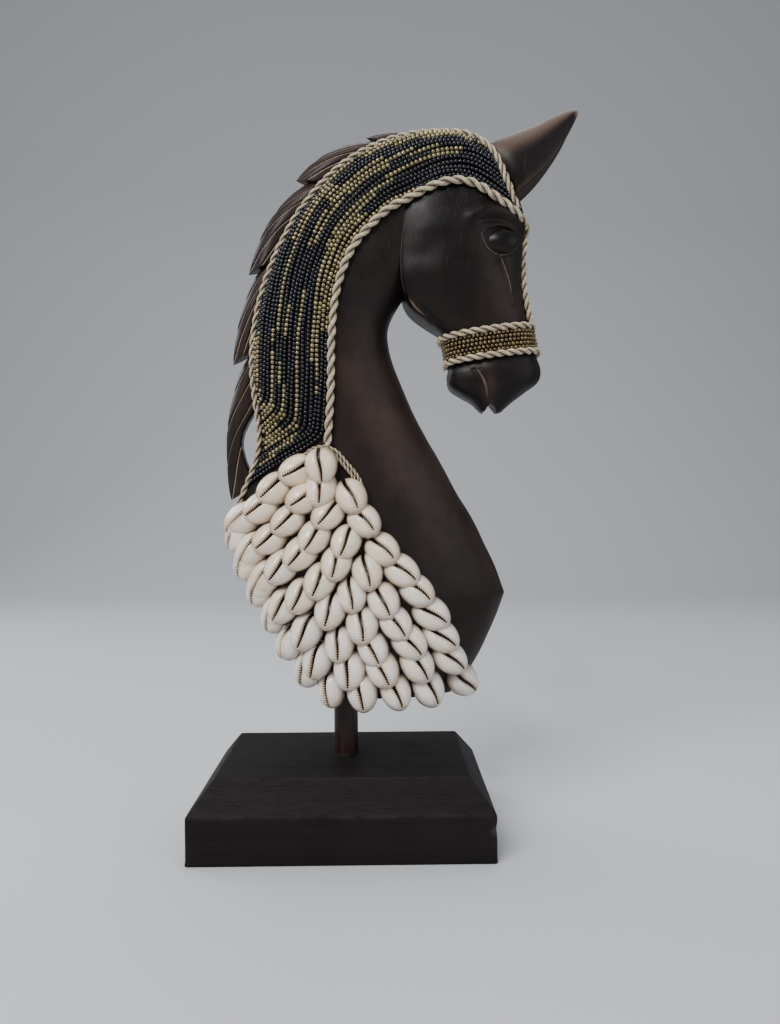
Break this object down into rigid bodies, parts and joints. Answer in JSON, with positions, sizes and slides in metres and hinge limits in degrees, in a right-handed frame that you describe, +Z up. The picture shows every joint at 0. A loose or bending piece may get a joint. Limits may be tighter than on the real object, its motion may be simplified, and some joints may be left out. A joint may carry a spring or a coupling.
{
  "type": "horse head sculpture",
  "caption": "Carved wooden horse head and neck on a short dowel and a bevelled plinth, dressed with bead bands, twisted cord and a collar of cowrie shells.",
  "frame": {"origin": "centre of the plinth's underside", "axes": "+Z up, +X the way the horse looks, -Y the side with the profile that looks to the viewer's right"},
  "size_m": [0.2386, 0.12, 0.4558],
  "materials": {
    "plinth": "near-black stain, satin, edges worn lighter",
    "dowel": "reddish dark brown stain, matt",
    "stained_wood": "dark brown stain, satin, rubbed warmer on raised parts",
    "raffia_cord": "natural twisted fibre",
    "bead_rows": "opaque glossy black glass with rows of gold",
    "gold_beads": "opaque glossy gold glass",
    "cowrie_shell": "smooth cream shell, glossy"
  },
  "bodies": {
    "root": {"base": "plinth", "post": "dowel", "horse_head": "stained_wood", "mane_cord_left": "raffia_cord", "mane_cord_right": "raffia_cord", "neck_cord": "raffia_cord", "nose_cord_left": "raffia_cord", "nose_cord_right": "raffia_cord", "noseband_cord_upper": "raffia_cord", "noseband_cord_lower": "raffia_cord", "bead_band_left": "bead_rows", "bead_band_right": "bead_rows", "nose_beads": "bead_rows", "noseband_beads": "gold_beads", "cowrie_shells_left": "cowrie_shell", "cowrie_shells_right": "cowrie_shell"}
  },
  "joints": []
}
